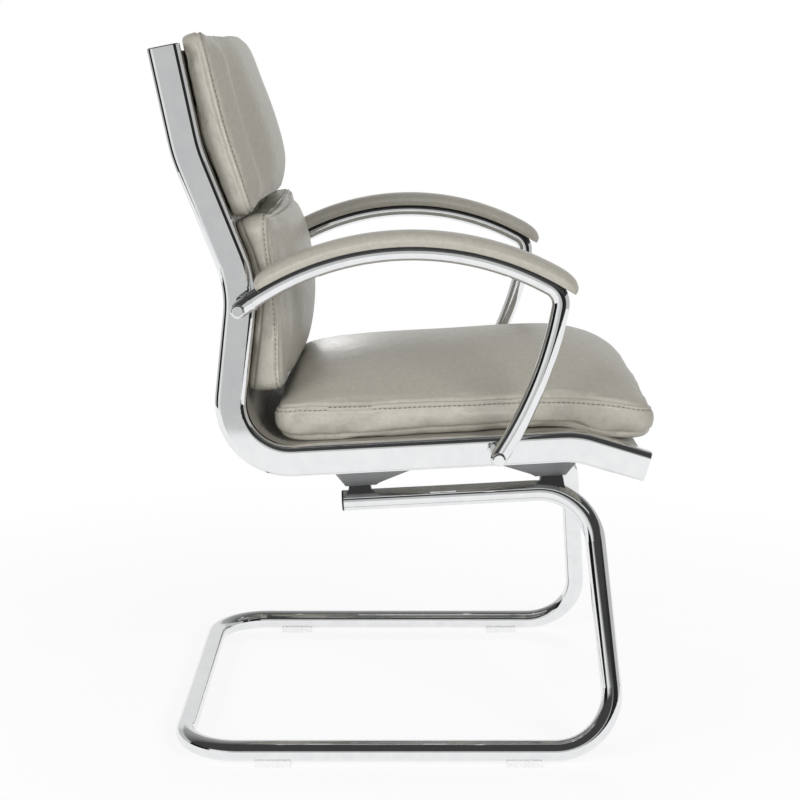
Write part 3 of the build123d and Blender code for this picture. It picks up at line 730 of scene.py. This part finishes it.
# %% Lumbar cushion
LUMBAR_ROWS = [
    (-141.0, -15.7, 27.0, 5.0, 234.0),
    (-112.0, -8.5, 29.0, 22.0, 232.8),
    (-62.0, 4.0, 35.0, 31.0, 231.5),
    (-15.0, 13.6, 38.0, 33.0, 231.0),
    (32.0, 11.2, 38.0, 31.0, 231.5),
    (64.0, 3.5, 39.0, 21.0, 232.8),
    (82.0, -1.0, 40.0, 5.0, 234.0),
]
make_cushion(
    "lumbar_cushion", (207.2, 635.4), (-0.991723, 0.128394), LUMBAR_ROWS,
    nodes=("lumbar_cover", "lumbar_foam"),
    corner=20, pull=4, bulge=1.5, valley=(0.80, 20, 110), roll=6,
    border=6, tuck=4, ditch=1.4, pressure=1.2, slack=0.012, cap=4,
)

# %% [markdown]
# The upper cushion has the strongest roll: its sides stand up like bolsters, with a valley
# before the middle rises. It is undercut all round, which leaves a dark gap to the panel.

# %% Upper cushion
UPPER_ROWS = [
    (-94.5, 27.4, 56.0, 5.0, 234.0),
    (-78.0, 25.9, 57.0, 19.0, 232.8),
    (-45.0, 23.0, 56.0, 34.0, 231.5),
    (10.0, 20.0, 55.0, 38.0, 231.0),
    (65.0, 24.8, 57.0, 32.0, 231.5),
    (112.0, 28.9, 60.0, 23.0, 232.8),
    (136.0, 30.3, 60.0, 6.0, 234.0),
]
make_cushion(
    "upper_cushion", (272.0, 801.0), (-0.959886, 0.280391), UPPER_ROWS,
    nodes=("upper_cover", "upper_foam"),
    corner=20, pull=6, bulge=2, valley=(1.0, 45, 140), roll=15,
    border=6, tuck=14, ditch=0, pressure=0.9, slack=0.012, cap=3,
)

# %% [markdown]
# The cover of the back panel is top stitched along its rear edges, where it is turned in. The
# panel itself is a CAD node, so only the thread is added: points are found by looking at the
# panel from behind, up one side, across the top and down the other.

# %% Back panel stitching
PANEL_HALF, PANEL_HEM, PANEL_FOOT = 239.7, 11.0, 455.0
STEPS_UP, STEPS_ACROSS = 60, 30
BEHIND = 1000.0
panel_skin = frame["nodes"]["back_panel_skin"]
panel = surface_tree(panel_skin, 1 / TO_METRES)
panel_top = max(point.co.z for point in panel_skin.data.vertices) / TO_METRES
side_x, hem_z = PANEL_HALF - PANEL_HEM, panel_top - PANEL_HEM
heights = [PANEL_FOOT + (hem_z - PANEL_FOOT) * n / STEPS_UP for n in range(STEPS_UP + 1)]
path = [(-side_x, z) for z in heights]
path += [(-side_x + 2 * side_x * n / STEPS_ACROSS, hem_z) for n in range(1, STEPS_ACROSS)]
path += [(side_x, z) for z in reversed(heights)]
hits = [panel.ray_cast(Vector((x, BEHIND, z)), Vector((0, -1, 0)))[0] for x, z in path]
panel_thread = sew("back_panel_stitching", panel, [[hit for hit in hits if hit]], closed=False)
panel_thread.data.transform(Matrix.Scale(TO_METRES, 4))
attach(panel_thread, "root")
print("back panel thread", len(panel_thread.data.polygons), "faces, top of panel at", round(panel_top))

# %% [markdown]
# The arm pads are leather wrapped round a moulded foam loaf that sits on the arched tube. A
# cube is cut into small cells, and its points are laid on the arch: along it by angle, across
# it by width, and outwards by radius. Towards both ends the loaf tapers to a rounded nose, and
# its underside, which is made black, is hollowed for the tube.

# %% Arm pad form
ARCH_Y, ARCH_Z, ARCH_R = -6.635, 331.037, 352.944
PAD_LOW_R, PAD_HIGH_R = 360.9, 379.4
PAD_REAR, PAD_FRONT = -31.995, 33.488
PAD_HALF, TUBE_R, TUBE_GAP = 26.0, 11.0, 0.3
NOSE_LENGTH, NOSE_WIDTH, NOSE_HEIGHT = 30, 0.55, 0.35
FOOT_IN, SHOULDER_IN, SHOULDER_FROM = 0.10, 0.06, 0.8
CROWN_DROP, CROWN_POWER = 0.42, 3.2


def pad_point(u, v, w):
    """From a unit cube to the pad: u along from the rear, v across, w from the tube outwards."""
    end = min((1 + u) * 0.5, (1 - u) * 0.5) * radians(PAD_FRONT - PAD_REAR) * ARCH_R
    nose = sqrt(max(0.0, 1 - max(0.0, 1 - end / NOSE_LENGTH) ** 2))
    angle = radians(PAD_REAR + (PAD_FRONT - PAD_REAR) * (1 + u) / 2)
    side = NOSE_WIDTH + (1 - NOSE_WIDTH) * nose
    shoulder = max(0, w - SHOULDER_FROM) / (1 - SHOULDER_FROM)
    across = v * PAD_HALF * side * (1 - FOOT_IN * (1 - w) ** 2 - SHOULDER_IN * shoulder * abs(v))
    crown = (1 - abs(v) ** CROWN_POWER * CROWN_DROP) * (NOSE_HEIGHT + (1 - NOSE_HEIGHT) * nose)
    low = PAD_LOW_R
    if abs(across) < TUBE_R:
        low = max(low, ARCH_R + sqrt((TUBE_R + TUBE_GAP) ** 2 - across**2))
    radius = low + (PAD_HIGH_R - low) * crown * w
    return Vector((across, ARCH_Y - sin(angle) * radius, ARCH_Z + cos(angle) * radius))


print("pad is", PAD_HIGH_R - PAD_LOW_R, "mm thick")

# %% [markdown]
# Both pads are made alike, one on either side. The cells are cut in mesh code, because the faces
# of the underside have to be known again after the smoothing, when they turn black.

# %% Both arm pads
PAD_CUTS = (56, 14, 8)
ARM_X = 296.0


def make_pad(name, side, node):
    bpy.ops.object.select_all(action="DESELECT")
    bpy.ops.mesh.primitive_cube_add(size=2)
    pad = bpy.context.object
    pad.name = name
    mesh = bmesh.new()
    mesh.from_mesh(pad.data)
    for axis, cuts in enumerate(PAD_CUTS):
        edges = [e for e in mesh.edges if abs((e.verts[0].co - e.verts[1].co)[axis]) > 1e-6]
        bmesh.ops.subdivide_edges(mesh, edges=edges, cuts=cuts, use_grid_fill=True)
    low = [(point.co.z + 1) / 2 for point in mesh.verts]
    for point, height in zip(mesh.verts, low):
        point.co = pad_point(point.co.x, point.co.y, height)
        point.co.x += ARM_X
        point.co.x *= side
    mesh.verts.index_update()
    bmesh.ops.recalc_face_normals(mesh, faces=mesh.faces)
    mesh.to_mesh(pad.data)
    mesh.free()
    under = [max(low[n] for n in face.vertices) < 0.01 for face in pad.data.polygons]
    smooth_once(pad)
    pad.data.transform(Matrix.Scale(TO_METRES, 4))
    pad.data.polygons.foreach_set("use_smooth", [True] * len(pad.data.polygons))
    pad.data.materials.append(leather)
    pad.data.materials.append(black_plastic)
    for face in pad.data.polygons:
        face.material_index = int(under[face.index // 4])
    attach(pad, "root")
    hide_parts(node)
    print(name, len(pad.data.polygons), "faces")


make_pad("arm_pad_left_cover", 1, "arm_pad_left")
make_pad("arm_pad_right_cover", -1, "arm_pad_right")
bpy.data.objects.remove(stitch)

# %% [markdown]
# The cloth under the seat is cut to a rectangle, pulled flat and stapled to the board. It sags
# by about a millimetre inside its row of staples. A subdivided grid is enough for that,
# thickened so that it has two sides.

# %% Seat lining
LINING_SIZE = (392.0, 330.0)
LINING_CELLS = (56, 48)
LINING_MIDDLE = -15.0
LINING_LEVEL, LINING_THICK = 3.4, 0.5
SAG, SAG_FROM, SAG_TO, SAG_SCALE = 0.8, 6, 60, 0.02
bpy.ops.object.select_all(action="DESELECT")
bpy.ops.mesh.primitive_grid_add(x_subdivisions=LINING_CELLS[0], y_subdivisions=LINING_CELLS[1], size=1)
lining = bpy.context.object
lining.name = "seat_lining_cloth"
for point in lining.data.vertices:
    x, y = point.co.x * LINING_SIZE[0], point.co.y * LINING_SIZE[1]
    slack = ease(min(LINING_SIZE[0] / 2 - abs(x), LINING_SIZE[1] / 2 - abs(y)), SAG_FROM, SAG_TO)
    sag = SAG * slack * (1 + noise.noise(Vector((x, y, 0)) * SAG_SCALE))
    point.co = (x, LINING_MIDDLE + y, LINING_LEVEL - sag)
thick = lining.modifiers.new("cloth", "SOLIDIFY")
thick.thickness = LINING_THICK
bpy.ops.object.modifier_apply(modifier=thick.name)
lining.data.polygons.foreach_set("use_smooth", [True] * len(lining.data.polygons))
lining.data.materials.append(lining_cloth)
print("lining", len(lining.data.polygons), "faces")

# %% [markdown]
# Staples hold the cloth along its edge. Each is a small box in its own place on a line just
# inside the edge, turned along it. They are one piece, which goes with the cloth.

# %% Lining staples
STAPLE_SIZE, STAPLE_IN, STAPLE_PITCH = (10.0, 0.9, 0.5), 9.0, 24.0
STAPLE_LEVEL = LINING_LEVEL - 0.75
edge_x, edge_y = LINING_SIZE[0] / 2 - STAPLE_IN, LINING_SIZE[1] / 2 - STAPLE_IN
corners = ((-1, -1), (1, -1), (1, 1), (-1, 1))
edge = [Vector((x * edge_x, LINING_MIDDLE + y * edge_y, STAPLE_LEVEL)) for x, y in corners]
wires = bmesh.new()
for spot, way in along_line(edge, STAPLE_PITCH):
    turn = Matrix((way, Vector((0, 0, 1)).cross(way), Vector((0, 0, 1)))).transposed().to_4x4()
    lay = Matrix.Translation(spot) @ turn @ Matrix.Diagonal((*STAPLE_SIZE, 1))
    bmesh.ops.create_cube(wires, matrix=lay)
mesh = bpy.data.meshes.new("lining_staples")
wires.to_mesh(mesh)
wires.free()
staples = bpy.data.objects.new("lining_staples", mesh)
bpy.context.scene.collection.objects.link(staples)
mesh.materials.append(zinc)
for made, slot in ((lining, "grey_lining"), (staples, "zinc_hardware")):
    place_in_chair(made, *SEAT_FRAME)
    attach(made, "root")
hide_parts("seat_lining")
print("staples", len(mesh.polygons) // 6)

# %% [markdown]
# A studio may show the camera plain white and still light the chair with measure, if its nodes ask
# what kind of ray has come. Such questions are sums of ones and zeros, made with math nodes.


# %% Ray helpers
def add_maths(tree, operation, *values):
    """A math node; numbers go on its sockets and outputs are linked to them."""
    made = add_node(tree, "ShaderNodeMath", operation=operation)
    for socket, value in zip(made.inputs, values):
        if isinstance(value, (int, float)):
            socket.default_value = value
        else:
            tree.links.new(value, socket)
    return made.outputs[0]


def seen_rays(tree):
    """One for rays that see the background: straight, mirrored or through glass."""
    rays = add_node(tree, "ShaderNodeLightPath").outputs
    mirrored = add_maths(tree, "MAXIMUM", rays["Is Glossy Ray"], rays["Is Transmission Ray"])
    return add_maths(tree, "MAXIMUM", rays["Is Camera Ray"], mirrored)


print("ray helpers ready")

# %% [markdown]
# A white studio: a pale floor that keeps a soft shadow and fades into a white background. The
# fade is white for camera, glossy and transmission rays alike, so the chrome shows it too.

# %% Floor
FLOOR_R = 2.3
FADE_FROM, FADE_TO = 0.45, 1.3
NEAR_FADE = 0.84
bpy.ops.mesh.primitive_circle_add(vertices=96, radius=FLOOR_R, fill_type="NGON")
floor = bpy.context.object
floor.name = "studio_floor"
pale, tree, shader, place = new_finish("pale_floor", Roughness=0.85)
dust = noise_at(tree, place, 3.0)
paint(tree, shader, dust, (0.88, 0.88, 0.88), (0.91, 0.91, 0.91))
reach = add_node(tree, "ShaderNodeVectorMath", operation="LENGTH")
tree.links.new(place, reach.inputs[0])
fade = spread(tree, reach.outputs["Value"], NEAR_FADE, 1.0, FADE_FROM, FADE_TO)
white = add_node(tree, "ShaderNodeEmission", {"Color": (1, 1, 1, 1), "Strength": 1.0})
mix = add_node(tree, "ShaderNodeMixShader")
tree.links.new(add_maths(tree, "MULTIPLY", fade, seen_rays(tree)), mix.inputs["Fac"])
tree.links.new(shader.outputs[0], mix.inputs[1])
tree.links.new(white.outputs[0], mix.inputs[2])
tree.links.new(mix.outputs[0], tree.nodes["Material Output"].inputs["Surface"])
floor.data.materials.append(pale)
print("floor reaches", FLOOR_R, "m")

# %% [markdown]
# Chrome needs something to reflect. A product studio gives it white walls and black flags that
# draw thin dark lines along the tubes. Here both are stops on a ramp round the room, which starts
# behind the chair's far side and turns by way of its rear. Real walls would do the same, but
# would need light of their own.

# %% Walls for reflections
FLAGS = [
    (0.000, 0.82), (0.090, 0.80), (0.120, 0.58), (0.235, 0.58),
    (0.250, 0.01), (0.350, 0.01), (0.365, 0.88), (0.435, 0.84),
    (0.465, 0.60), (0.530, 0.60), (0.545, 0.02), (0.680, 0.03),
    (0.700, 0.56), (0.880, 0.56), (0.910, 0.80), (1.000, 0.82),
]
room = bpy.data.worlds.new("white_studio")
bpy.context.scene.world = room
room.use_nodes = True
tree = room.node_tree
tree.nodes.clear()
axes = add_node(tree, "ShaderNodeSeparateXYZ")
tree.links.new(add_node(tree, "ShaderNodeTexCoord").outputs["Generated"], axes.inputs[0])
turn = add_maths(tree, "ARCTAN2", axes.outputs["Y"], axes.outputs["X"])
turn = add_maths(tree, "FRACT", add_maths(tree, "DIVIDE", turn, 2 * pi))
ring = add_node(tree, "ShaderNodeValToRGB")
stops = ring.color_ramp.elements
for spot, _ in FLAGS[1:-1]:
    stops.new(spot)
for stop, (spot, grey) in zip(stops, FLAGS):
    stop.position = spot
    stop.color = (grey, grey, grey, 1)
tree.links.new(turn, ring.inputs["Fac"])
print("room has", len(stops), "stops round it")

# %% [markdown]
# The walls end softly a little above the horizon, higher on the far side and in front. Over them
# is an unlit ceiling, which grows lighter away from the camera. Glossy rays see this room,
# diffuse rays get an even light from it, and the camera sees white.

# %% Ceiling and light of the room
WALL_FROM, WALL_TO = 0.19, 0.29
BACK_LIFT, FRONT_LIFT = 0.22, 0.12
CEILING = 0.055
CEILING_BACK = 0.40
AMBIENT = 0.34
away = add_maths(tree, "MAXIMUM", axes.outputs["X"], 0.0)
ahead = add_maths(tree, "MINIMUM", axes.outputs["Y"], 0.0)
height = add_maths(tree, "SUBTRACT", axes.outputs["Z"], add_maths(tree, "MULTIPLY", away, BACK_LIFT))
height = add_maths(tree, "ADD", height, add_maths(tree, "MULTIPLY", ahead, FRONT_LIFT))
high = spread(tree, height, 0.0, 1.0, WALL_FROM, WALL_TO)
dim = add_maths(tree, "ADD", add_maths(tree, "MULTIPLY", away, CEILING_BACK), CEILING)
ceiling = add_maths(tree, "MULTIPLY", dim, high)
walls = add_maths(tree, "MULTIPLY", ring.outputs["Color"], add_maths(tree, "SUBTRACT", 1.0, high))
rays = add_node(tree, "ShaderNodeLightPath").outputs
shown = add_maths(tree, "MULTIPLY", add_maths(tree, "ADD", walls, ceiling), rays["Is Glossy Ray"])
lit = add_maths(tree, "MULTIPLY", AMBIENT, rays["Is Diffuse Ray"])
clear = add_maths(tree, "MAXIMUM", rays["Is Camera Ray"], rays["Is Transmission Ray"])
shine = add_node(tree, "ShaderNodeBackground", {"Color": (1, 1, 1, 1)})
tree.links.new(add_maths(tree, "ADD", clear, add_maths(tree, "ADD", shown, lit)), shine.inputs["Strength"])
tree.links.new(shine.outputs[0], add_node(tree, "ShaderNodeOutputWorld").inputs["Surface"])
print("room gives", AMBIENT, "to diffuse rays")

# %% [markdown]
# The bands of the cushions, which look at the camera, are brighter than their tops, so both
# main lights are low. One stands to the chair's front and one to its rear, and the arm throws
# a soft shadow to either side of itself. Weaker lights fill from the far side and from above.


# %% Lamps
def softbox(name, spot, target, size, watts):
    way = Vector(target) - Vector(spot)
    bpy.ops.object.light_add(type="AREA", location=spot, rotation=way.to_track_quat("-Z", "Y").to_euler())
    lamp = bpy.context.object
    lamp.name = name
    lamp.data.shape = "RECTANGLE"
    lamp.data.size, lamp.data.size_y = size
    lamp.data.energy = watts
    return lamp


lamps = [
    softbox("key_softbox", (-2.10, -1.50, 1.60), (0, 0, 0.60), (1.1, 0.9), 39),
    softbox("fill_softbox", (-2.0, 1.5, 1.1), (0, 0, 0.60), (1.2, 1.2), 40),
    softbox("far_softbox", (2.3, -0.5, 1.7), (0, 0, 0.5), (1.4, 1.2), 24),
    softbox("top_softbox", (0.5, 0.1, 2.5), (0, 0, 0.5), (1.4, 1.2), 3),
]
for lamp in lamps:
    lamp.visible_glossy = False
print("lamps", [lamp.name for lamp in lamps])

# %% [markdown]
# The lamps are kept out of the chrome, which would show them as hard white patches. The
# leather still needs its soft shine, so three more lamps give highlights to the leather alone.
# The far one shines on the seat only, because the lumbar cushion's top would catch a glint.

# %% Shine on the leather
shine_lamps = [
    softbox("near_shine", (-2.5, 0.3, 1.0), (0, 0.1, 0.7), (1.3, 0.9), 16),
    softbox("far_shine", (2.4, 0.9, 1.2), (0, 0.1, 0.5), (1.4, 0.9), 16),
    softbox("high_shine", (-0.8, -0.1, 2.4), (0, 0, 0.5), (0.7, 1.2), 6),
]
leather_pieces = bpy.data.collections.new("leather_pieces")
for thing in bpy.context.scene.objects:
    if thing.type == "MESH" and leather.name in thing.data.materials:
        leather_pieces.objects.link(thing)
seat_alone = bpy.data.collections.new("seat_alone")
seat_alone.objects.link(seat)
for lamp in shine_lamps:
    lamp.visible_diffuse = False
    lamp.light_linking.receiver_collection = seat_alone if lamp.name == "far_shine" else leather_pieces
